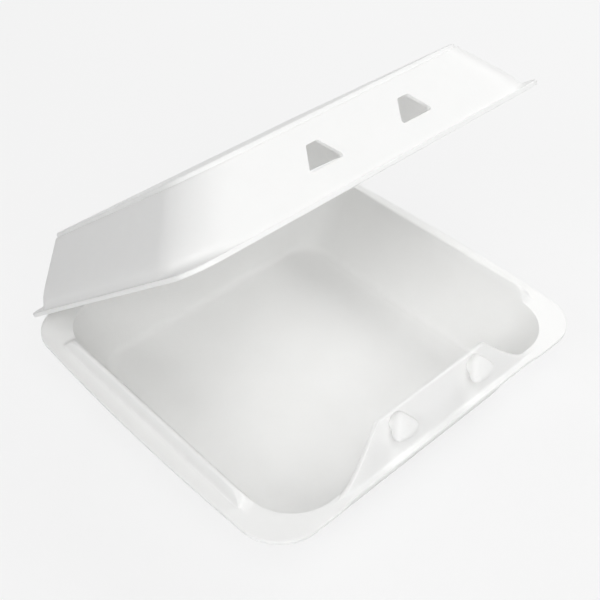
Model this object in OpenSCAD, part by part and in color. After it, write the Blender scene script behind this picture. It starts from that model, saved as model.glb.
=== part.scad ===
// Hinged takeout container of white foam sheet, shown open.
// The tray has a rib along each side and a front panel with two tabs, the lid has a slot for each tab,
// and both hang together at a pressed crease along the back edge.

/* [Rim] */
// Width of the tray's rim at its corners
rim_w = 232; // [200:1:260]
// Depth of the rim, from the front corners to the back of the crease
rim_d = 213; // [190:1:240]
// Corner radius of the tray's rim
rim_r = 25; // [18:1:32]
// Outward bow of the rim's side edges at their middle
side_bow = 2.2; // [0:0.1:4]
// Step back of the front edges between their corners
front_recess = 1; // [0:0.1:1.2]

/* [Foam] */
// Thickness of the foam sheet
sheet = 2.2; // [1.6:0.1:2.8]
// Clearance between faces of the tray and of the closed lid
gap = 0.3; // [0.2:0.05:0.6]
// Clearance between the lid's inner walls and the rib and panel that they close over
wall_play = 0.35; // [0.3:0.05:1]
// Rounding of the sheet's cut edge
edge_round = 0.4; // [0.2:0.1:0.5]

/* [Tray] */
// Inside depth of the tray below its rim
tray_depth = 42; // [30:1:55]
// Width of the lid's and tray's flat rim at the back, outside the lid's wall
back_flange = 5; // [3:0.5:8]
// Width of the rim at the back that the closed lid covers
back_lip = 2.5; // [2:0.1:5]
// Run of the side walls from the rim to the floor
tray_side_run = 16; // [10:0.2:24]
// Run of the front wall from the rim to the floor
tray_front_run = 15.7; // [8:0.2:22]
// Run of the back wall from the rim to the floor
tray_back_run = 6.4; // [4:0.2:16]
// Corner radius of the tray's mouth
mouth_r = 27; // [20:1:34]
// Corner radius of the tray's floor
floor_r = 20; // [15:1:28]
// Size of the round between floor and walls
floor_round = 5; // [3:0.5:10]

/* [Ribs and panel] */
// Height of the side ribs above the rim
rib_h = 6.2; // [3:0.2:9]
// Length of the side ribs
rib_len = 146; // [100:1:150]
// Length of the round at each end of a rib
rib_ramp = 10; // [5:0.5:18]
// Width of a rib at the rim, below its crest
rib_w = 7.8; // [6:0.2:10]
// Thickness of the ribs and the panel at the crest
crest_w = 2.1; // [1.8:0.1:3]
// Rise of the rounded crest between its two edges
crest_round = 0.5; // [0.2:0.1:1]
// Height of the front panel above the rim
panel_h = 22.5; // [18:0.5:24]
// Width of the front panel along its crest
panel_top_w = 80; // [74:1:90]
// Width of the front panel where its flanks meet the rim
panel_foot_w = 138; // [120:1:150]
// Hollow of the panel's flanks, 1 being straight
flank_curve = 1.35; // [1:0.05:1.8]
// Thickness of the panel at the rim
panel_w = 3; // [2.4:0.1:4]

/* [Tabs and slots] */
// Distance between the two tabs
tab_spacing = 57; // [48:1:60]
// Width of a tab at its lower lip
tab_w = 17; // [14:0.5:18]
// Height of a tab
tab_h = 11.4; // [11:0.2:13]
// Height of a tab's lower lip above the rim
tab_low = 12.8; // [10:0.2:14]
// Radius of the three lobes of a tab's lower lip
tab_lobe_r = 3; // [2.4:0.1:3.2]
// Radius of a tab's top lobe
tab_top_r = 3.6; // [2.8:0.1:4]
// How far the middle of the lip stands in front of its ends
tab_bow = 1; // [0.4:0.1:2]
// Height of a slot's lower edge above the lower lip of its tab
slot_rise = 0.8; // [0.4:0.1:1]
// Height of a slot above the top of its tab
slot_play = 0.6; // [0.4:0.1:1]
// Extra width of a slot at its lower edge
slot_spread = 2; // [1.6:0.2:6]
// Extra width of a slot at its upper edge
slot_top_spread = 0.8; // [0.4:0.2:3]
// Corner radius of the slots
slot_round = 1.2; // [0.6:0.1:2]

/* [Lid] */
// Opening angle of the lid
lid_open = 39; // [0:1:180]
// Height of the lid above the tray's rim
lid_h = 36; // [30:0.5:44]
// How far the lid's side edges lie inside the tray's rim
lid_margin = 3; // [1:0.1:5]
// How far the lid's front edge lies inside the tray's rim
lid_front_margin = 1.3; // [0.3:0.1:2]
// Width of the lid's flange at the sides
lid_side_flange = 1.6; // [1.4:0.1:4]
// Width of the lid's flange at the front
lid_front_flange = 1.4; // [1.2:0.1:3]
// Run of the lid's side walls over their height
lid_side_run = 22; // [14:0.5:26]
// Height above the flange where the lid's side walls stand out most from a straight slope
belly_h = 7; // [6:0.5:9]
// How far they stand out there
belly = 2.6; // [0:0.1:3]
// Run of the lid's front wall over its height
lid_front_run = 11.6; // [8:0.2:13]
// Run of the lid's back wall over its height
lid_back_run = 12; // [8:0.5:20]
// Corner radius of the lid's flange
lid_r = 16; // [14:1:24]
// Corner radius of the lid's walls at the flange
lid_foot_r = 29; // [20:1:34]
// Corner radius of the lid's walls at the top
lid_top_r = 23; // [18:1:26]
// Round between the lid's flange and walls
lid_foot_round = 4; // [1.5:0.5:5]
// Height of the step round the top of the lid
step_h = 2.2; // [1.5:0.1:3]
// Width of the ledge below that step
ledge_w = 1; // [0.6:0.1:2]
// Round of the top panel's edge
top_round = 0.9; // [0.5:0.1:1.5]
// Round between the lid's walls and its ceiling
ceiling_round = 6; // [3:0.5:9]

/* [Crease] */
// Radius of the crease's round spine
crease_r = 0.9; // [0.7:0.1:1.2]
// Thickness of the pressed web beside the spine
web_t = 0.8; // [0.6:0.1:1]

/* [Hidden] */
foam_white = "white";

// Stations along a ring: each side, the front, the back and each corner
tray_stations = [24, 44, 6, 7];
lid_stations = [10, 10, 6, 9];
round_steps = 4;
lobe_facets = 18;
slot_facets = 24;
spine_facets = 48;

// The rim plane is the top of the tray's flange; the tray stands on z = 0
rim_z = tray_depth + sheet;
hinge_y = rim_d / 2 - crease_r;
back_edge = hinge_y - crease_r - gap;

// An outline is [half width, front y, back y, front corner radius, back corner radius, height]
function outline(half_w, front, back, r_front, r_back, z) = [half_w, front, back, r_front, r_back, z];
function grown(o, d) = o + d * [1, -1, 1, 1, 1, 0];
function at_height(o, z) = [o[0], o[1], o[2], o[3], o[4], z];
function blend(a, b, t) = a * (1 - t) + b * t;
function bend(a, b, c, t) = blend(blend(a, b, t), blend(b, c, t), t);

// Eases from 0 to 1 as s goes from 0 to 1
function eased(s) = let (c = min(max(s, 0), 1)) c * c * (3 - 2 * c);

// Points of a straight run, of a bowed side run with its points closer towards its ends,
// and of a quarter round, each without its end point
function run(a, b, n) = [for (i = [0 : n - 1]) a + (b - a) * i / n];
function side_run(a, b, n, bow) =
    [for (i = [0 : n - 1]) let (t = eased(i / n)) a + (b - a) * t + [bow * 4 * t * (1 - t), 0]];
function quarter(centre, r, start, n) =
    [for (i = [0 : n - 1]) let (a = start + 90 * i / n) centre + r * [cos(a), sin(a)]];

// One closed ring round an outline, seen from above anticlockwise from the front of the right side
function ring(o, n, bow = 0) =
    let (x = o[0], front = o[1], back = o[2], rf = o[3], rb = o[4])
    let (flat = concat(
        side_run([x, front + rf], [x, back - rb], n[0], bow),
        quarter([x - rb, back - rb], rb, 0, n[3]),
        run([x - rb, back], [rb - x, back], n[2]),
        quarter([rb - x, back - rb], rb, 90, n[3]),
        side_run([-x, back - rb], [-x, front + rf], n[0], -bow),
        quarter([rf - x, front + rf], rf, 180, n[3]),
        run([rf - x, front], [x - rf, front], n[1]),
        quarter([x - rf, front + rf], rf, 270, n[3])))
    [for (p = flat) [p.x, p.y, o[5]]];

// Steps the front edge of a ring back between its corners
recess_half = panel_foot_w / 2 + rim_r / 4;
recess_ramp = rim_r / 3;
function recessed(points) =
    [for (p = points) p.y < 0
        ? [p.x, p.y + front_recess * eased((recess_half - abs(p.x)) / recess_ramp), p.z]
        : p];

// Rings along a round that leaves one outline for another, past the corner where both would meet
function rounded(from, corner, to, n) =
    [for (i = [0 : round_steps]) ring(bend(from, corner, to, i / round_steps), n)];

// The middle of a flat ring
function middle(points) =
    [for (k = [0 : 2]) (min([for (p = points) p[k]]) + max([for (p = points) p[k]])) / 2];

// One closed solid through a list of rings of equal length, its ends closed from their middles
module loft(rings) {
    n = len(rings[0]);
    last = len(rings) - 1;
    ends = [middle(rings[0]), middle(rings[last])];
    end = n * len(rings);
    sides = [
        for (k = [0 : last - 1], i = [0 : n - 1])
        let (j = (i + 1) % n, low = k * n, high = low + n)
        each [[low + i, low + j, high + j], [low + i, high + j, high + i]]
    ];
    caps = [
        for (i = [0 : n - 1])
        let (j = (i + 1) % n)
        each [[end, j, i], [end + 1, last * n + i, last * n + j]]
    ];
    polyhedron(concat([for (r = rings) each r], ends), concat(sides, caps), convexity = 8);
}

// Outlines of the lid when closed, with heights above the rim plane
lid_flange_z = gap + sheet;
shoulder_z = lid_h - step_h;
lid_wall_h = shoulder_z - lid_flange_z;
lid_edge = outline(rim_w / 2 - lid_margin, lid_front_margin - rim_d / 2, back_edge, lid_r, lid_r, gap);
lid_foot = outline(lid_edge[0] - lid_side_flange, lid_edge[1] + lid_front_flange, back_edge - back_flange,
    lid_foot_r, lid_foot_r, lid_flange_z);
lid_shoulder = outline(lid_foot[0] - lid_side_run, lid_foot[1] + lid_front_run, lid_foot[2] - lid_back_run,
    lid_top_r, lid_top_r, shoulder_z);
belly_z = lid_flange_z + belly_h;
lid_belly = blend(lid_foot, lid_shoulder, belly_h / lid_wall_h) + [belly, 0, 0, 0, 0, 0];
belly_run = lid_foot[0] - lid_belly[0];
function lid_wall(z) = z < belly_z
    ? blend(lid_foot, lid_belly, (z - lid_flange_z) / belly_h)
    : blend(lid_belly, lid_shoulder, (z - belly_z) / (shoulder_z - belly_z));

// Level distance through the lid's sloping walls: sides, front and back
function through(run, height) = sheet * sqrt(1 + pow(run / height, 2));
function lid_skin(side) = [
    side, -through(lid_front_run, lid_wall_h), through(lid_back_run, lid_wall_h), sheet, sheet, 0
];
low_skin = lid_skin(through(belly_run, belly_h));
high_skin = lid_skin(through(lid_side_run - belly_run, shoulder_z - belly_z));
function lid_inner(z) =
    lid_wall(z) - blend(low_skin, high_skin, max(z - belly_z, 0) / (shoulder_z - belly_z));

// Faces of the rib and panel that lie just inside the closed lid
function ridge_face(z) = grown(lid_inner(z), -wall_play);
ridge_foot = at_height(ridge_face(0), 0);

// Outlines of the tray, with heights above the rim plane
tray_edge = outline(rim_w / 2, -rim_d / 2, back_edge, rim_r, rim_r, 0);
mouth =
    outline(ridge_foot[0] - rib_w, ridge_foot[1] + panel_w, ridge_foot[2] - back_lip, mouth_r, mouth_r, 0);
floor_line = outline(mouth[0] - tray_side_run, mouth[1] + tray_front_run, mouth[2] - tray_back_run,
    floor_r, floor_r, -tray_depth);
function tray_wall(z) = blend(mouth, floor_line, -z / tray_depth);
tray_skin = [
    through(tray_side_run, tray_depth),
    through(tray_front_run, tray_depth),
    through(tray_back_run, tray_depth)
];
function tray_outer(z) = tray_wall(z) + [tray_skin[0], -tray_skin[1], tray_skin[2], sheet, sheet, 0];

// Height of the ridge at a point: ribs along the sides, the panel at the front, nothing elsewhere
function rib_rise(y) = let (s = max(1 - (rib_len / 2 - abs(y)) / rib_ramp, 0)) rib_h * sqrt(1 - s * s);
flank_w = (panel_foot_w - panel_top_w) / 2;
function panel_rise(x) =
    panel_h * pow(1 - min(max((abs(x) - panel_top_w / 2) / flank_w, 0), 1), flank_curve);
function on_rib(p) = abs(p.y) < rib_len / 2;
function ridge_rise(p) = on_rib(p) ? rib_rise(p.y) : p.y < 0 ? panel_rise(p.x) : 0;

// Lifts a flat ring to the crest of the ridge and leans it inwards: lean is [at the ribs, at the panel]
function lifted(points, lean, extra) = [
    for (p = points)
    let (h = ridge_rise(p))
    let (side = on_rib(p) ? sign(p.x) * h * lean[0] : 0)
    let (front = on_rib(p) ? 0 : h * lean[1])
    [p.x - side, p.y + front, p.z + h + min(extra, h)]
];

// The crest rises from just inside the ridge's foot, and falls to just outside the mouth's rounding
crest_step = 0.2;
mouth_round = 1.2;
mouth_edge = grown(mouth, mouth_round / 4);
crest_outer = grown(ridge_foot, -crest_step);
crest_inner = grown(mouth_edge, crest_step);
crest_middle = blend(crest_outer, crest_inner, 0.5);
outer_lean = [belly_run / belly_h, lid_front_run / lid_wall_h];
inner_lean = outer_lean + [
    (crest_inner[0] - crest_outer[0] + crest_w) / rib_h,
    (crest_outer[1] - crest_inner[1] + crest_w) / panel_h
];
middle_lean = (outer_lean + inner_lean) / 2;

tray_inner_round = tray_wall(floor_round - tray_depth);
tray_bottom = at_height(tray_outer(-tray_depth), -rim_z);
tray_outer_round = tray_outer(floor_round - tray_depth);

// From the floor up the inner wall, over the ridge and the rim, and down the outer wall to the underside
tray_rings = concat(
    rounded(grown(floor_line, -floor_round), floor_line, tray_inner_round, tray_stations),
    [
        ring(tray_wall(-mouth_round), tray_stations),
        ring(mouth_edge, tray_stations),
        lifted(ring(crest_inner, tray_stations), inner_lean, 0),
        lifted(ring(crest_middle, tray_stations), middle_lean, crest_round),
        lifted(ring(crest_outer, tray_stations), outer_lean, 0),
        ring(ridge_foot, tray_stations),
        recessed(ring(grown(tray_edge, -edge_round), tray_stations, side_bow)),
        recessed(ring(at_height(tray_edge, -edge_round), tray_stations, side_bow)),
        recessed(ring(at_height(tray_edge, edge_round - sheet), tray_stations, side_bow)),
        recessed(ring(at_height(grown(tray_edge, -edge_round), -sheet), tray_stations, side_bow)),
        ring(at_height(grown(tray_outer(-sheet), edge_round), -sheet), tray_stations),
        ring(tray_outer(-sheet - edge_round), tray_stations)
    ],
    rounded(tray_outer_round, tray_bottom, grown(tray_bottom, -floor_round), tray_stations)
);

// A tab on the front panel: a head with a lower lip of three lobes and a top lobe,
// and necks to a root in the panel.
// The lip hangs in front of the closed lid's wall, and the necks pass through its slot.
lip_z = tab_low + tab_lobe_r;
lip_y = lid_wall(lip_z)[1] - (tab_lobe_r + gap) * through(lid_front_run, lid_wall_h) / sheet;
tab_top_z = tab_low + tab_h - tab_top_r;
lobe_x = tab_w / 2 - tab_lobe_r;
left_lobe = [-lobe_x, lip_y, lip_z, tab_lobe_r];
right_lobe = [lobe_x, lip_y, lip_z, tab_lobe_r];
middle_lobe = [0, lip_y - tab_bow, lip_z, tab_lobe_r];
top_lobe = [0, lid_wall(tab_top_z)[1], tab_top_z, tab_top_r];
root = [0, ridge_face(tab_top_z)[1] + crest_w / 2, tab_top_z, crest_w / 2];

module joined(lobes) {
    hull()
        for (l = lobes)
            translate([l[0], l[1], l[2]]) sphere(r = l[3], $fn = lobe_facets);
}

module tab() {
    joined([left_lobe, middle_lobe, right_lobe, top_lobe]);
    for (lobe = [left_lobe, right_lobe, top_lobe])
        joined([lobe, root]);
}

module at_tabs() {
    for (side = [-1, 1])
        translate([side * tab_spacing / 2, 0, 0]) children();
}

module tray() {
    color(foam_white)
    translate([0, 0, rim_z])
    union() {
        loft(tray_rings);
        at_tabs() tab();
    }
}

// The step round the lid's top, and the lid's ceiling inside it
lid_ledge = grown(lid_shoulder, -ledge_w);
lid_top = at_height(grown(lid_ledge, -top_round), lid_h);
lid_top_edge = at_height(grown(lid_ledge, -top_round / 3), lid_h);
lid_ceiling = lid_inner(lid_h - sheet);

// The wall's foot flares out to half the flange's width
lid_flare = at_height(blend(lid_foot, lid_edge, 0.5), lid_flange_z);

// From the top down the outer wall, round the flange, and up the inner wall to the ceiling
lid_rings = concat(
    rounded(
        grown(lid_top, -top_round), lid_top_edge, at_height(lid_top_edge, lid_h - top_round), lid_stations),
    [
        ring(lid_ledge, lid_stations),
        ring(grown(lid_shoulder, -edge_round / 2), lid_stations),
        ring(lid_wall(shoulder_z - edge_round), lid_stations),
        ring(lid_belly, lid_stations)
    ],
    rounded(lid_wall(lid_flange_z + lid_foot_round), lid_foot, lid_flare, lid_stations),
    [
        ring(at_height(grown(lid_edge, -edge_round), lid_flange_z), lid_stations),
        ring(at_height(lid_edge, lid_flange_z - edge_round), lid_stations),
        ring(at_height(lid_edge, gap + edge_round), lid_stations),
        ring(grown(lid_edge, -edge_round), lid_stations),
        ring(at_height(grown(lid_inner(gap), edge_round), gap), lid_stations),
        ring(lid_inner(gap + edge_round), lid_stations),
        ring(lid_inner(belly_z), lid_stations)
    ],
    rounded(lid_inner(lid_ceiling[5] - ceiling_round), lid_ceiling, grown(lid_ceiling, -ceiling_round),
        lid_stations)
);

// A slot that a tab passes through: wide below, narrow above
module slot() {
    low_z = tab_low + slot_rise;
    high_z = tab_low + tab_h + slot_play;
    low_x = (tab_w + slot_spread) / 2;
    high_x = tab_top_r + slot_top_spread / 2;
    corners = [[low_x, low_z, 1], [high_x, high_z, -1]];
    inner_y = lid_inner(high_z)[1] + sheet;
    translate([0, inner_y, 0])
    rotate([90, 0, 0])
    linear_extrude(height = inner_y - lid_edge[1])
    hull()
        for (c = corners, side = [-1, 1])
            translate([side * (c[0] - slot_round), c[1] + c[2] * slot_round])
                circle(r = slot_round, $fn = slot_facets);
}

module lid() {
    color(foam_white)
    translate([0, hinge_y, rim_z])
    rotate([-lid_open, 0, 0])
    translate([0, -hinge_y, 0])
    difference() {
        loft(lid_rings);
        at_tabs() slot();
    }
}

// The pressed crease that the lid turns on: a round spine and a thin web to the tray's cut edge
crease_len = rim_w - 2 * rim_r;
web_w = hinge_y - back_edge;

module hinge_crease() {
    color(foam_white)
    translate([0, hinge_y, rim_z])
    union() {
        rotate([0, 90, 0]) cylinder(r = crease_r, h = crease_len, center = true, $fn = spine_facets);
        translate([-crease_len / 2, -web_w, -edge_round - web_t]) cube([crease_len, web_w, web_t]);
    }
}

tray();
lid();
hinge_crease();
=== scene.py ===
import itertools
import math

import bmesh
import bpy
import numpy as np
from mathutils import Matrix, Vector


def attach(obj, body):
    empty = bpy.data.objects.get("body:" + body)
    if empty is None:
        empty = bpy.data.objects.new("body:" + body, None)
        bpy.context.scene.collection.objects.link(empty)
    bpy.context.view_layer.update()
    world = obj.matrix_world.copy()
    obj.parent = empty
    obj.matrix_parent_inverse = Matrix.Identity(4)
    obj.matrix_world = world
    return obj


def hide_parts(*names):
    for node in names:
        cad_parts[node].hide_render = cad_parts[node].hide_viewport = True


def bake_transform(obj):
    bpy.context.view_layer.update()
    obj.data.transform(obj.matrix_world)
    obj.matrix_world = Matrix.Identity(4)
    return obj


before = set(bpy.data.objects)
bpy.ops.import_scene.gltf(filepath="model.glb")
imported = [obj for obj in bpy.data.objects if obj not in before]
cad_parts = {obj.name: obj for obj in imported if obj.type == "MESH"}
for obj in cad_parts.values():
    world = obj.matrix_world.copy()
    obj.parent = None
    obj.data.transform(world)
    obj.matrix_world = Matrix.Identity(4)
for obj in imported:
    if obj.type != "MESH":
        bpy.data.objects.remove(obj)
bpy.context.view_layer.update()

# Sizes in millimetres, as in the part's source
MM = 0.001
RIM_W, RIM_D, RIM_R = 232.0, 213.0, 25.0
SIDE_BOW, FRONT_RECESS = 2.2, 1.0
SHEET, GAP, WALL_PLAY = 2.2, 0.3, 0.35
TRAY_DEPTH, BACK_FLANGE, BACK_LIP = 42.0, 5.0, 2.5
TRAY_SIDE_RUN, TRAY_FRONT_RUN, TRAY_BACK_RUN = 16.0, 15.7, 6.4
MOUTH_R, FLOOR_R, FLOOR_ROUND = 27.0, 20.0, 5.0
RIB_H, RIB_LEN, RIB_RAMP, RIB_W = 6.2, 146.0, 10.0, 7.8
CREST_W, CREST_STEP, MOUTH_ROUND = 2.1, 0.2, 1.2
PANEL_H, PANEL_TOP_W, PANEL_FOOT_W, FLANK_CURVE, PANEL_W = 22.5, 80.0, 138.0, 1.35, 3.0
TAB_SPACING, TAB_W, TAB_H, TAB_LOW = 57.0, 17.0, 11.4, 12.8
TAB_LOBE_R, TAB_TOP_R, TAB_BOW = 3.0, 3.6, 1.0
SLOT_RISE, SLOT_PLAY, SLOT_SPREAD, SLOT_TOP_SPREAD, SLOT_ROUND = 0.8, 0.6, 2.0, 0.8, 1.2
LID_OPEN, LID_H, LID_MARGIN, LID_FRONT_MARGIN = 39.0, 36.0, 3.0, 1.3
LID_SIDE_FLANGE, LID_FRONT_FLANGE = 1.6, 1.4
LID_SIDE_RUN, LID_FRONT_RUN, LID_BACK_RUN = 22.0, 11.6, 12.0
BELLY_H, BELLY = 7.0, 2.6
LID_R, LID_FOOT_R, LID_TOP_R, LID_FOOT_ROUND = 16.0, 29.0, 23.0, 4.0
STEP_H, LEDGE_W, TOP_ROUND, CEILING_ROUND = 2.2, 1.0, 0.9, 6.0
CREASE_R = 0.9

# Roundings that the shells add
MOUTH_SOFT, CREST_SOFT, RIDGE_FOOT_SOFT, RIM_SOFT, UNDER_RIM_SOFT = 3.0, 1.1, 1.2, 0.7, 1.5
LEDGE_SOFT, SHOULDER_SOFT, BELLY_SOFT, LID_EDGE_SOFT, LID_MOUTH_SOFT = 0.3, 0.5, 8.0, 0.6, 0.8

# The tabs' necks: height above the lips' middle, radius, and spread as a share of the lobes'
NECK_RISE, NECK_R, NECK_SHARE = 1.6, 2.0, 0.75

# The fold's skin: half its thickness, its inset into the rims, and how far it is drawn out and down
FOLD_T, FOLD_INSET, FOLD_OUT, FOLD_DROP = 0.5, 0.4, 1.6, 0.1

RIM_Z = TRAY_DEPTH + SHEET
HINGE_Y = RIM_D / 2 - CREASE_R
BACK_EDGE = HINGE_Y - CREASE_R - GAP
TAB_X = TAB_SPACING / 2


# An outline is [half width, front y, back y, front corner radius, back corner radius, height]
def outline(*values):
    return np.array(values, float)


def grown(shape, by):
    return shape + by * np.array([1, -1, 1, 1, 1, 0.0])


def at_height(shape, z):
    made = shape.copy()
    made[5] = z
    return made


def inwards(shape, share):
    """An outline drawn in towards its middle."""
    half, front, back, front_r, back_r, z = shape
    middle, reach = (front + back) / 2, (back - front) / 2 * share
    return outline(half * share, middle - reach, middle + reach, front_r * share, back_r * share, z)


def mixed(a, b, t):
    return a * (1 - t) + b * t


def eased(share):
    within = np.clip(share, 0, 1)
    return within * within * (3 - 2 * within)


def curved(start, corner, end, t):
    """The place at t on a curve from start to end that is drawn out towards a corner."""
    return start * (1 - t) ** 2 + corner * 2 * t * (1 - t) + end * t * t


def through(run, height):
    """Width of the sheet along a level line, where its wall slopes."""
    return SHEET * math.sqrt(1 + (run / height) ** 2)


# Outlines of the lid, closed, with heights above the rim
LID_FLANGE_Z = GAP + SHEET
SHOULDER_Z = LID_H - STEP_H
BELLY_Z = LID_FLANGE_Z + BELLY_H
LID_WALL_H = SHOULDER_Z - LID_FLANGE_Z
lid_edge = outline(RIM_W / 2 - LID_MARGIN, LID_FRONT_MARGIN - RIM_D / 2, BACK_EDGE, LID_R, LID_R, GAP)
lid_foot = outline(lid_edge[0] - LID_SIDE_FLANGE, lid_edge[1] + LID_FRONT_FLANGE, BACK_EDGE - BACK_FLANGE,
                   LID_FOOT_R, LID_FOOT_R, LID_FLANGE_Z)
lid_shoulder = outline(lid_foot[0] - LID_SIDE_RUN, lid_foot[1] + LID_FRONT_RUN, lid_foot[2] - LID_BACK_RUN,
                       LID_TOP_R, LID_TOP_R, SHOULDER_Z)
lid_belly = mixed(lid_foot, lid_shoulder, BELLY_H / LID_WALL_H) + outline(BELLY, 0, 0, 0, 0, 0)
BELLY_RUN = lid_foot[0] - lid_belly[0]


def lid_skin(side):
    front, back = through(LID_FRONT_RUN, LID_WALL_H), through(LID_BACK_RUN, LID_WALL_H)
    return outline(side, -front, back, SHEET, SHEET, 0)


low_skin = lid_skin(through(BELLY_RUN, BELLY_H))
high_skin = lid_skin(through(LID_SIDE_RUN - BELLY_RUN, SHOULDER_Z - BELLY_Z))


def lid_wall(z):
    if z < BELLY_Z:
        return mixed(lid_foot, lid_belly, (z - LID_FLANGE_Z) / BELLY_H)
    return mixed(lid_belly, lid_shoulder, (z - BELLY_Z) / (SHOULDER_Z - BELLY_Z))


def lid_inner(z):
    return lid_wall(z) - mixed(low_skin, high_skin, max(z - BELLY_Z, 0) / (SHOULDER_Z - BELLY_Z))


# Outlines of the tray, with the ridge of ribs and panel just inside the closed lid
def ridge_face(z):
    return grown(lid_inner(z), -WALL_PLAY)


ridge_foot = at_height(ridge_face(0), 0)
tray_edge = outline(RIM_W / 2, -RIM_D / 2, BACK_EDGE, RIM_R, RIM_R, 0)
mouth = outline(ridge_foot[0] - RIB_W, ridge_foot[1] + PANEL_W, ridge_foot[2] - BACK_LIP,
                MOUTH_R, MOUTH_R, 0)
floor_line = outline(mouth[0] - TRAY_SIDE_RUN, mouth[1] + TRAY_FRONT_RUN, mouth[2] - TRAY_BACK_RUN,
                     FLOOR_R, FLOOR_R, -TRAY_DEPTH)
tray_skin = outline(through(TRAY_SIDE_RUN, TRAY_DEPTH), -through(TRAY_FRONT_RUN, TRAY_DEPTH),
                    through(TRAY_BACK_RUN, TRAY_DEPTH), SHEET, SHEET, 0)


def tray_outer(z):
    return mixed(mouth, floor_line, -z / TRAY_DEPTH) + tray_skin


# Points of a ring on each side, corner, back and front. Those on the sides are denser at their ends
TRAY_COUNTS = {"side": 84, "corner": 20, "back": 24, "front": 110}
LID_COUNTS = {"side": 40, "corner": 22, "back": 40, "front": 60}
SIDE_EASE = 0.7


def ring(shape, counts, bow=0.0):
    """Points round an outline, whose sides bow out, from the front end of its right side."""
    half, front, back, front_r, back_r, z = shape
    run = np.linspace(0, 1, counts["side"], endpoint=False)
    side = mixed(run, eased(run), SIDE_EASE)
    turn = np.linspace(0, math.pi / 2, counts["corner"], endpoint=False)
    leftwards = np.linspace(1, -1, counts["back"], endpoint=False)
    rightwards = np.linspace(-1, 1, counts["front"], endpoint=False)

    def bend(x, y, radius, start):
        return np.column_stack([x + radius * np.cos(start + turn), y + radius * np.sin(start + turn)])

    bulge = bow * 4 * side * (1 - side)
    flat = np.concatenate([
        np.column_stack([half + bulge, mixed(front + front_r, back - back_r, side)]),
        bend(half - back_r, back - back_r, back_r, 0),
        np.column_stack([leftwards * (half - back_r), np.full(len(leftwards), back)]),
        bend(back_r - half, back - back_r, back_r, math.pi / 2),
        np.column_stack([-half - bulge, mixed(back - back_r, front + front_r, side)]),
        bend(front_r - half, front + front_r, front_r, math.pi),
        np.column_stack([rightwards * (half - front_r), np.full(len(rightwards), front)]),
        bend(half - front_r, front + front_r, front_r, math.pi * 1.5),
    ])
    return np.column_stack([flat, np.full(len(flat), z)])


# A rounding takes at most this share of the way to the control on either side
ROUND_LIMIT = 0.45
NO_LENGTH = 1e-9


def profile(controls):
    """Rings along a rounded path through controls.

    A control is (ring, size of its rounding, rings in the rounding, rings on the way to the next).
    """
    starts, ends = [], []
    for k, (corner, size, _, _) in enumerate(controls):
        if size == 0:
            starts.append(corner)
            ends.append(corner)
            continue
        for other, kept in ((controls[k - 1][0], starts), (controls[k + 1][0], ends)):
            way = other - corner
            length = np.maximum(np.linalg.norm(way, axis=1, keepdims=True), NO_LENGTH)
            kept.append(corner + way * np.minimum(size, ROUND_LIMIT * length) / length)
    rings = []
    for k, (corner, size, arc, more) in enumerate(controls):
        if size == 0:
            rings.append(corner)
        else:
            rings += [curved(starts[k], corner, ends[k], t) for t in np.linspace(0, 1, arc)]
        for i in range(more):
            rings.append(mixed(ends[k], starts[k + 1], (i + 1) / (more + 1)))
    return rings


# Shares of an outline at which flat rings open and close a shell
FROM_MIDDLE = (0.05, 0.2, 0.35, 0.5, 0.65, 0.8)
TO_MIDDLE = (0.8, 0.6, 0.4, 0.2, 0.05)


def flat_rings(shape, counts, shares):
    """Controls without a rounding, drawn in from an outline."""
    return [(ring(inwards(shape, share), counts), 0, 1, 0) for share in shares]


def put(name, data):
    made = bpy.data.objects.new(name, data)
    bpy.context.scene.collection.objects.link(made)
    return made


def mesh_of(name, points, faces, smooth=False):
    mesh = bpy.data.meshes.new(name)
    mesh.from_pydata(points, [], faces)
    mesh.polygons.foreach_set("use_smooth", [smooth] * len(mesh.polygons))
    mesh.update()
    return mesh


def shell(name, controls):
    """One closed mesh through the rings of a profile, its two ends drawn in to a point."""
    rings = [points + (0, 0, RIM_Z) for points in profile(controls)]
    n = len(rings[0])
    ends = np.array([rings[0].mean(0), rings[-1].mean(0)])
    points = np.concatenate(rings + [ends]) * MM
    i = np.arange(n)
    j = (i + 1) % n
    last = (len(rings) - 1) * n
    first_end, last_end = n * len(rings), n * len(rings) + 1
    bands = [np.column_stack([k + i, k + n + i, k + n + j, k + j]) for k in range(0, last, n)]
    faces = np.concatenate(bands).tolist()
    faces += np.column_stack([np.full(n, first_end), i, j]).tolist()
    faces += np.column_stack([np.full(n, last_end), last + j, last + i]).tolist()
    return put(name, mesh_of(name, points.tolist(), faces, smooth=True))


# Tray: the rim is recessed at the front, and the ridge rises to the ribs and the panel
recess_half, recess_ramp = PANEL_FOOT_W / 2 + RIM_R / 4, RIM_R / 3
flank_w = (PANEL_FOOT_W - PANEL_TOP_W) / 2
crest_outer, crest_inner = grown(ridge_foot, -CREST_STEP), grown(mouth, MOUTH_ROUND / 4 + CREST_STEP)
outer_lean = np.array([BELLY_RUN / BELLY_H, LID_FRONT_RUN / LID_WALL_H])
inner_lean = outer_lean + np.array([(crest_inner[0] - crest_outer[0] + CREST_W) / RIB_H,
                                    (crest_outer[1] - crest_inner[1] + CREST_W) / PANEL_H])
tray_bottom = at_height(tray_outer(-TRAY_DEPTH), -RIM_Z)


def recessed(points):
    made = points.copy()
    depth = FRONT_RECESS * eased((recess_half - np.abs(points[:, 0])) / recess_ramp)
    made[:, 1] += np.where(points[:, 1] < 0, depth, 0)
    return made


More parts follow.
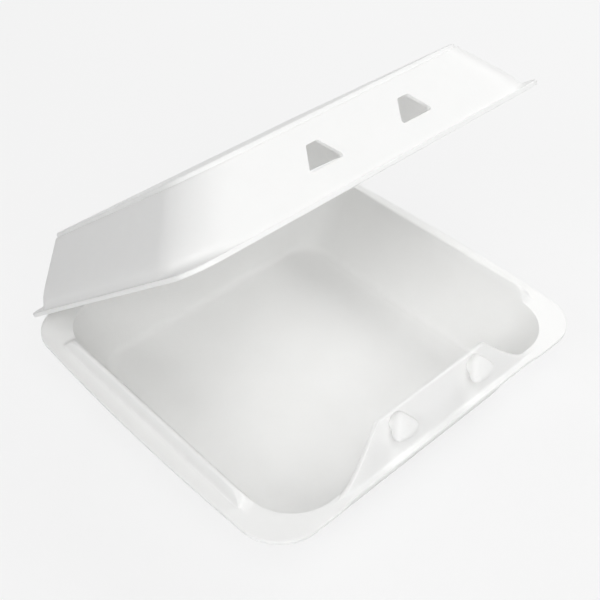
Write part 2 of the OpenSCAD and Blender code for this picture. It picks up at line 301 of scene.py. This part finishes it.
def lifted(points, lean):
    """A flat ring raised to the crest and leant inwards. The leans are for the ribs and the panel."""
    across, along = np.abs(points[:, 0]), np.abs(points[:, 1])
    on_rib = along < RIB_LEN / 2
    end = np.clip(1 - (RIB_LEN / 2 - along) / RIB_RAMP, 0, 1)
    share = np.clip((across - PANEL_TOP_W / 2) / flank_w, 0, 1)
    panel = np.where(points[:, 1] < 0, PANEL_H * (1 - share) ** FLANK_CURVE, 0)
    height = np.where(on_rib, RIB_H * np.sqrt(1 - end ** 2), panel)
    made = points.copy()
    made[:, 0] -= np.where(on_rib, np.sign(points[:, 0]) * height * lean[0], 0)
    made[:, 1] += np.where(on_rib, 0, height * lean[1])
    made[:, 2] += height
    return made


def tray_ring(shape, bow=0.0):
    return ring(shape, TRAY_COUNTS, bow)


tray_shell = shell("tray_shell", [
    *flat_rings(floor_line, TRAY_COUNTS, FROM_MIDDLE),
    (tray_ring(floor_line), FLOOR_ROUND, 9, 14),
    (tray_ring(mouth), MOUTH_SOFT, 8, 5),
    (lifted(tray_ring(crest_inner), inner_lean), CREST_SOFT, 6, 0),
    (lifted(tray_ring(crest_outer), outer_lean), CREST_SOFT, 6, 10),
    (tray_ring(ridge_foot), RIDGE_FOOT_SOFT, 6, 3),
    (recessed(tray_ring(tray_edge, SIDE_BOW)), RIM_SOFT, 5, 1),
    (recessed(tray_ring(at_height(tray_edge, -SHEET), SIDE_BOW)), RIM_SOFT, 5, 3),
    (tray_ring(tray_outer(-SHEET)), UNDER_RIM_SOFT, 6, 10),
    (tray_ring(tray_bottom), FLOOR_ROUND, 9, 2),
    *flat_rings(tray_bottom, TRAY_COUNTS, TO_MIDDLE),
])

# Tabs: a lobe is (x, y, height, radius), and a head, a neck and a stalk are hulls of some lobes
lip_z, top_z = TAB_LOW + TAB_LOBE_R, TAB_LOW + TAB_H - TAB_TOP_R
lip_y = lid_wall(lip_z)[1] - (TAB_LOBE_R + GAP) * through(LID_FRONT_RUN, LID_WALL_H) / SHEET
lobe_x = TAB_W / 2 - TAB_LOBE_R
neck_x, neck_z = lobe_x * NECK_SHARE, lip_z + NECK_RISE
foot_y = ridge_face(neck_z)[1] - NECK_R / 4
lobes = {
    "left": (-lobe_x, lip_y, lip_z, TAB_LOBE_R),
    "right": (lobe_x, lip_y, lip_z, TAB_LOBE_R),
    "middle": (0, lip_y - TAB_BOW, lip_z, TAB_LOBE_R),
    "top": (0, lid_wall(top_z)[1], top_z, TAB_TOP_R),
    "root": (0, ridge_face(top_z)[1] + CREST_W / 2, top_z, CREST_W / 2),
    "left_neck": (-neck_x, lip_y, neck_z, NECK_R),
    "right_neck": (neck_x, lip_y, neck_z, NECK_R),
    "left_foot": (-neck_x, foot_y, neck_z, NECK_R),
    "right_foot": (neck_x, foot_y, neck_z, NECK_R),
}
HEAD = ("left", "right", "middle", "top")
NECK = ("left_neck", "right_neck", "top", "left_foot", "right_foot")
STALK = ("top", "root")
MIX_PARTS = 5


def balls(names):
    """Balls that fill the hull of some lobes: every mix of them in equal parts."""
    chosen = np.array([lobes[name] for name in names])
    mixes = itertools.product(range(MIX_PARTS + 1), repeat=len(names))
    return [np.array(mix) / MIX_PARTS @ chosen for mix in mixes if sum(mix) == MIX_PARTS]


filling = np.array(balls(HEAD) + balls(NECK) + balls(STALK))
KNOB_FINENESS, HALVINGS, SMOOTHINGS, MOST_GROWTH = 5, 24, 30, 0.1


def knob(name, xc):
    """A ball drawn out along its rays to the hulls' surface, and smoothed with little growth."""
    made = bmesh.new()
    bmesh.ops.create_icosphere(made, subdivisions=KNOB_FINENESS, radius=1)
    rays = np.array([v.co for v in made.verts])
    centre = np.array([lobes[lobe][:3] for lobe in HEAD]).mean(0)
    near, far = np.zeros(len(rays)), np.full(len(rays), 2 * TAB_W)
    for _ in range(HALVINGS):
        half = (near + far) / 2
        at = centre + rays * half[:, None]
        inside = np.any([np.linalg.norm(at - ball[:3], axis=1) < ball[3] for ball in filling], axis=0)
        near, far = np.where(inside, half, near), np.where(inside, far, half)
    a, b = np.array([[v.index for v in e.verts] for e in made.edges]).T
    count = np.bincount(a, minlength=len(rays)) + np.bincount(b, minlength=len(rays))
    most = near + MOST_GROWTH
    for _ in range(SMOOTHINGS):
        around = np.bincount(a, near[b], len(rays)) + np.bincount(b, near[a], len(rays))
        near = np.minimum((near + around / count) / 2, most)
    for v, at in zip(made.verts, centre + rays * near[:, None]):
        v.co = (at + (xc, 0, RIM_Z)) * MM
    mesh = bpy.data.meshes.new(name)
    made.to_mesh(mesh)
    made.free()
    mesh.polygons.foreach_set("use_smooth", [True] * len(mesh.polygons))
    return put(name, mesh)


knobs = [knob("left_tab", -TAB_X), knob("right_tab", TAB_X)]

# Lid, built closed
lid_ledge = grown(lid_shoulder, -LEDGE_W)
lid_top = at_height(grown(lid_ledge, -TOP_ROUND / 3), LID_H)
lid_ceiling = lid_inner(LID_H - SHEET)
NEAR_EDGE = 0.92


def lid_ring(shape):
    return ring(shape, LID_COUNTS)


lid_shell = shell("lid_shell", [
    *flat_rings(lid_top, LID_COUNTS, (*FROM_MIDDLE, NEAR_EDGE)),
    (lid_ring(lid_top), TOP_ROUND, 6, 0),
    (lid_ring(lid_ledge), LEDGE_SOFT, 4, 0),
    (lid_ring(lid_shoulder), SHOULDER_SOFT, 5, 8),
    (lid_ring(lid_belly), BELLY_SOFT, 11, 1),
    (lid_ring(lid_foot), LID_FOOT_ROUND, 9, 1),
    (lid_ring(at_height(lid_edge, LID_FLANGE_Z)), LID_EDGE_SOFT, 5, 1),
    (lid_ring(lid_edge), LID_EDGE_SOFT, 5, 1),
    (lid_ring(lid_inner(GAP)), LID_MOUTH_SOFT, 5, 3),
    (lid_ring(lid_inner(BELLY_Z)), BELLY_SOFT, 9, 8),
    (lid_ring(lid_ceiling), CEILING_ROUND, 9, 0),
    *flat_rings(lid_ceiling, LID_COUNTS, TO_MIDDLE),
])

# Slots in the lid's front wall, cut by prisms that reach past it at the front and the back
CUT_FRONT, CUT_BACK, ARC_POINTS = 5, 4, 9


def slot_cutter(xc):
    """A prism along Y with the slot's rounded trapezoid as its section."""
    low_z, high_z = TAB_LOW + SLOT_RISE, TAB_LOW + TAB_H + SLOT_PLAY
    low_x = (TAB_W + SLOT_SPREAD) / 2 - SLOT_ROUND
    high_x = TAB_TOP_R + SLOT_TOP_SPREAD / 2 - SLOT_ROUND
    lean = math.atan2(low_x - high_x, high_z - low_z - 2 * SLOT_ROUND)
    corners = (
        (low_x, low_z + SLOT_ROUND, -math.pi / 2, lean),
        (high_x, high_z - SLOT_ROUND, lean, math.pi / 2),
        (-high_x, high_z - SLOT_ROUND, math.pi / 2, math.pi - lean),
        (-low_x, low_z + SLOT_ROUND, math.pi - lean, math.pi * 1.5),
    )
    section = []
    for x, z, start, end in corners:
        for turn in np.linspace(start, end, ARC_POINTS):
            section.append((xc + x + SLOT_ROUND * math.cos(turn), z + SLOT_ROUND * math.sin(turn)))
    front, back = lid_edge[1] - CUT_FRONT, lid_inner(high_z)[1] + CUT_BACK
    n = len(section)
    points = [(x * MM, y * MM, (z + RIM_Z) * MM) for y in (front, back) for x, z in section]
    faces = [[i, n + i, n + (i + 1) % n, (i + 1) % n] for i in range(n)]
    faces += [list(range(n)), list(range(n, 2 * n))[::-1]]
    return put("slot_cutter", mesh_of("slot_cutter", points, faces))


for xc in (-TAB_X, TAB_X):
    cutter = slot_cutter(xc)
    cut = lid_shell.modifiers.new("slot", "BOOLEAN")
    cut.operation = "DIFFERENCE"
    cut.solver = "EXACT"
    cut.object = cutter
    bpy.context.view_layer.update()
    ready = lid_shell.evaluated_get(bpy.context.evaluated_depsgraph_get())
    done = bpy.data.meshes.new_from_object(ready)
    lid_shell.modifiers.clear()
    lid_shell.data = done
    bpy.data.objects.remove(cutter)

# The lid turns open about the crease
LID_SHARP, FOLD_SHARP = math.radians(40), math.radians(50)
hinge = Vector((0, HINGE_Y * MM, RIM_Z * MM))
turned = Matrix.Rotation(math.radians(-LID_OPEN), 4, "X")
opening = Matrix.Translation(hinge) @ turned @ Matrix.Translation(-hinge)
lid_shell.data.transform(opening)
lid_shell.data.set_sharp_from_angle(angle=LID_SHARP)

# The fold along the back edge, a thin curved skin from the tray's rim to the lid's
FOLD_STEPS, FOLD_COLUMNS = 12, 41
HALF_FOLD = RIM_W / 2 - RIM_R
fold_tray = Vector((0, BACK_EDGE - FOLD_INSET, RIM_Z - SHEET / 2)) * MM
fold_lid = opening @ (Vector((0, BACK_EDGE - FOLD_INSET, RIM_Z + GAP + SHEET / 2)) * MM)
fold_out = Vector((0, HINGE_Y + FOLD_OUT, RIM_Z - FOLD_DROP)) * MM


def fold():
    """Rows of points on both faces of the skin, with its edges and ends closed."""
    n = FOLD_COLUMNS
    points, faces = [], []
    for t in np.linspace(0, 1, FOLD_STEPS + 1):
        middle = curved(fold_tray, fold_out, fold_lid, t)
        way = ((fold_out - fold_tray) * (1 - t) + (fold_lid - fold_out) * t).normalized()
        for side in (1, -1):
            row = middle + Vector((0, -way.z, way.y)) * side * FOLD_T * MM
            points += [(x * MM, row.y, row.z) for x in np.linspace(-HALF_FOLD, HALF_FOLD, n)]

    def add(quad, as_it_is):
        faces.append(quad if as_it_is else quad[::-1])

    for k in range(FOLD_STEPS):
        for side in (0, 1):
            low, high = (2 * k + side) * n, (2 * k + 2 + side) * n
            for i in range(n - 1):
                add([low + i, low + i + 1, high + i + 1, high + i], side == 0)
        for i in (0, n - 1):
            low, high = 2 * k * n + i, (2 * k + 2) * n + i
            add([low, high, high + n, low + n], i == 0)
    for k in (0, FOLD_STEPS):
        low = 2 * k * n
        for i in range(n - 1):
            add([low + i, low + n + i, low + n + i + 1, low + i + 1], k == 0)
    return mesh_of("hinge_skin", points, faces, smooth=True)


hinge_skin = put("hinge_skin", fold())
hinge_skin.data.set_sharp_from_angle(angle=FOLD_SHARP)

# White foam sheet: a fine grain of beads under a satin skin
FOAM_DARK, FOAM_LIGHT = (0.91, 0.91, 0.90, 1), (0.95, 0.95, 0.94, 1)
BEADS, BEAD_SMOOTHNESS = 700, 0.6
GRAIN, GRAIN_DETAIL, CLOUD, CLOUD_DETAIL = 1500, 3, 38, 4
SATIN, DULL = 0.38, 0.6
BUMP, BUMP_DEPTH = 0.12, 0.0002
SCATTER, SCATTER_DEPTH, FOAM_IOR = 0.25, 0.002, 1.45


def foam():
    made = bpy.data.materials.new("foam")
    made.use_nodes = True
    tree = made.node_tree
    nodes, links = tree.nodes, tree.links
    bsdf = nodes["Principled BSDF"]
    place = nodes.new("ShaderNodeTexCoord")

    beads = nodes.new("ShaderNodeTexVoronoi")
    beads.feature = "SMOOTH_F1"
    beads.inputs["Scale"].default_value = BEADS
    beads.inputs["Smoothness"].default_value = BEAD_SMOOTHNESS
    grain = nodes.new("ShaderNodeTexNoise")
    grain.inputs["Scale"].default_value = GRAIN
    grain.inputs["Detail"].default_value = GRAIN_DETAIL
    cloud = nodes.new("ShaderNodeTexNoise")
    cloud.inputs["Scale"].default_value = CLOUD
    cloud.inputs["Detail"].default_value = CLOUD_DETAIL
    for texture in (beads, grain, cloud):
        links.new(place.outputs["Object"], texture.inputs["Vector"])

    tint = nodes.new("ShaderNodeMix")
    tint.data_type = "RGBA"
    tint.inputs[6].default_value = FOAM_DARK
    tint.inputs[7].default_value = FOAM_LIGHT
    links.new(cloud.outputs["Fac"], tint.inputs["Factor"])
    links.new(tint.outputs[2], bsdf.inputs["Base Color"])

    sheen = nodes.new("ShaderNodeMapRange")
    sheen.inputs["To Min"].default_value = SATIN
    sheen.inputs["To Max"].default_value = DULL
    links.new(cloud.outputs["Fac"], sheen.inputs["Value"])
    links.new(sheen.outputs["Result"], bsdf.inputs["Roughness"])

    both = nodes.new("ShaderNodeMath")
    both.operation = "ADD"
    links.new(beads.outputs["Distance"], both.inputs[0])
    links.new(grain.outputs["Fac"], both.inputs[1])
    bump = nodes.new("ShaderNodeBump")
    bump.inputs["Strength"].default_value = BUMP
    bump.inputs["Distance"].default_value = BUMP_DEPTH
    links.new(both.outputs["Value"], bump.inputs["Height"])
    links.new(bump.outputs["Normal"], bsdf.inputs["Normal"])

    bsdf.inputs["Subsurface Weight"].default_value = SCATTER
    bsdf.inputs["Subsurface Radius"].default_value = (1, 1, 1)
    bsdf.inputs["Subsurface Scale"].default_value = SCATTER_DEPTH
    bsdf.inputs["IOR"].default_value = FOAM_IOR
    return made


foam_material = foam()
for piece in (tray_shell, *knobs, lid_shell, hinge_skin):
    piece.data.materials.clear()
    piece.data.materials.append(foam_material)
for piece in (tray_shell, *knobs):
    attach(piece, "tray")
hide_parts("tray")
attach(lid_shell, "lid")
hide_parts("lid")
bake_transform(hinge_skin)
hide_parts("hinge_crease")


def direction(azimuth, elevation):
    """Unit vector away from the object, with the azimuth in degrees from the front to the right."""
    turn, tilt = math.radians(azimuth), math.radians(elevation)
    return Vector((math.sin(turn) * math.cos(tilt), -math.cos(turn) * math.cos(tilt), math.sin(tilt)))


def aim(thing, target, out, away):
    """Sets a camera or lamp a distance away from a target, and turns it to face that."""
    thing.location = target + out * away
    thing.rotation_mode = "QUATERNION"
    thing.rotation_quaternion = (-out).to_track_quat("-Z", "Y")


# Camera, fitted to the photograph
CAMERA_AZIMUTH, CAMERA_ELEVATION, CAMERA_AWAY = -42.88, 41.67, 0.5708
CAMERA_TARGET = Vector((0.0103, 0.0140, RIM_Z * MM))
FOCAL_PIXELS, PHOTO_PIXELS, SENSOR = 998.3, 600, 36
camera = put("camera", bpy.data.cameras.new("camera"))
camera.data.sensor_width = SENSOR
camera.data.lens = FOCAL_PIXELS / PHOTO_PIXELS * SENSOR
aim(camera, CAMERA_TARGET, direction(CAMERA_AZIMUTH, CAMERA_ELEVATION), CAMERA_AWAY)
bpy.context.scene.camera = camera

# Soft studio light: round lamps about the object, given by azimuth, elevation and watts
LAMP_AWAY, LAMP_SIZE, LAMP_TARGET = 1.4, 0.6, Vector((0, 0, 0.06))
LAMPS = {
    "front": (-15, 35, 4.1),
    "front_left": (-45, 35, 1.9),
    "left": (-80, 35, 3.8),
    "high_left": (-45, 60, 4.2),
    "high_front": (0, 60, 0.9),
    "right": (80, 35, 5.0),
    "back_right": (110, 35, 2.0),
    "back": (150, 35, 3.4),
}
for name, (azimuth, elevation, watts) in LAMPS.items():
    light = bpy.data.lights.new(name, "AREA")
    light.shape = "DISK"
    light.size = LAMP_SIZE
    light.energy = watts
    aim(put(name, light), LAMP_TARGET, direction(azimuth, elevation), LAMP_AWAY)


def seen(tree, share):
    """A value that is the share for camera, mirror and glass rays, and 0 for all others."""
    path = tree.nodes.new("ShaderNodeLightPath")
    found = path.outputs["Is Camera Ray"]
    for ray in ("Is Glossy Ray", "Is Transmission Ray"):
        either = tree.nodes.new("ShaderNodeMath")
        either.operation = "MAXIMUM"
        tree.links.new(found, either.inputs[0])
        tree.links.new(path.outputs[ray], either.inputs[1])
        found = either.outputs["Value"]
    scaled = tree.nodes.new("ShaderNodeMath")
    scaled.operation = "MULTIPLY"
    scaled.inputs[1].default_value = share
    tree.links.new(found, scaled.inputs[0])
    return scaled.outputs["Value"]


def backed(tree, lit, white, share, output):
    """Mixes a white emission into a lit shader where it is seen, not where it lights."""
    mix = tree.nodes.new("ShaderNodeMixShader")
    tree.links.new(seen(tree, share), mix.inputs["Fac"])
    tree.links.new(lit.outputs[0], mix.inputs[1])
    tree.links.new(white.outputs[0], mix.inputs[2])
    tree.links.new(mix.outputs["Shader"], tree.nodes[output].inputs["Surface"])


# Dim world, seen as pale as the far floor
WHITE = (1, 1, 1, 1)
WORLD_LIGHT, WORLD_SEEN = 0.1, 0.79
world = bpy.data.worlds.new("studio")
bpy.context.scene.world = world
world.use_nodes = True
tree = world.node_tree
sky, white = tree.nodes["Background"], tree.nodes.new("ShaderNodeBackground")
for source, strength in ((sky, WORLD_LIGHT), (white, WORLD_SEEN)):
    source.inputs["Color"].default_value = WHITE
    source.inputs["Strength"].default_value = strength
backed(tree, sky, white, 1, "World Output")

# Plain pale floor, seen as almost white, which keeps the object's shadow
FLOOR_HALF, FLOOR_ROUGHNESS, FLOOR_SEEN, FLOOR_SHARE = 6.0, 0.8, 0.94, 0.82
FLOOR_COLOR = (0.9, 0.9, 0.9, 1)
corners = [(x * FLOOR_HALF, y * FLOOR_HALF, 0) for x, y in ((-1, -1), (1, -1), (1, 1), (-1, 1))]
floor = put("floor", mesh_of("floor", corners, [[0, 1, 2, 3]]))
pale = bpy.data.materials.new("pale_floor")
pale.use_nodes = True
tree = pale.node_tree
card, white = tree.nodes["Principled BSDF"], tree.nodes.new("ShaderNodeEmission")
card.inputs["Base Color"].default_value = FLOOR_COLOR
card.inputs["Roughness"].default_value = FLOOR_ROUGHNESS
white.inputs["Color"].default_value = WHITE
white.inputs["Strength"].default_value = FLOOR_SEEN
backed(tree, card, white, FLOOR_SHARE, "Material Output")
floor.data.materials.append(pale)

bpy.context.scene.view_settings.view_transform = "Standard"
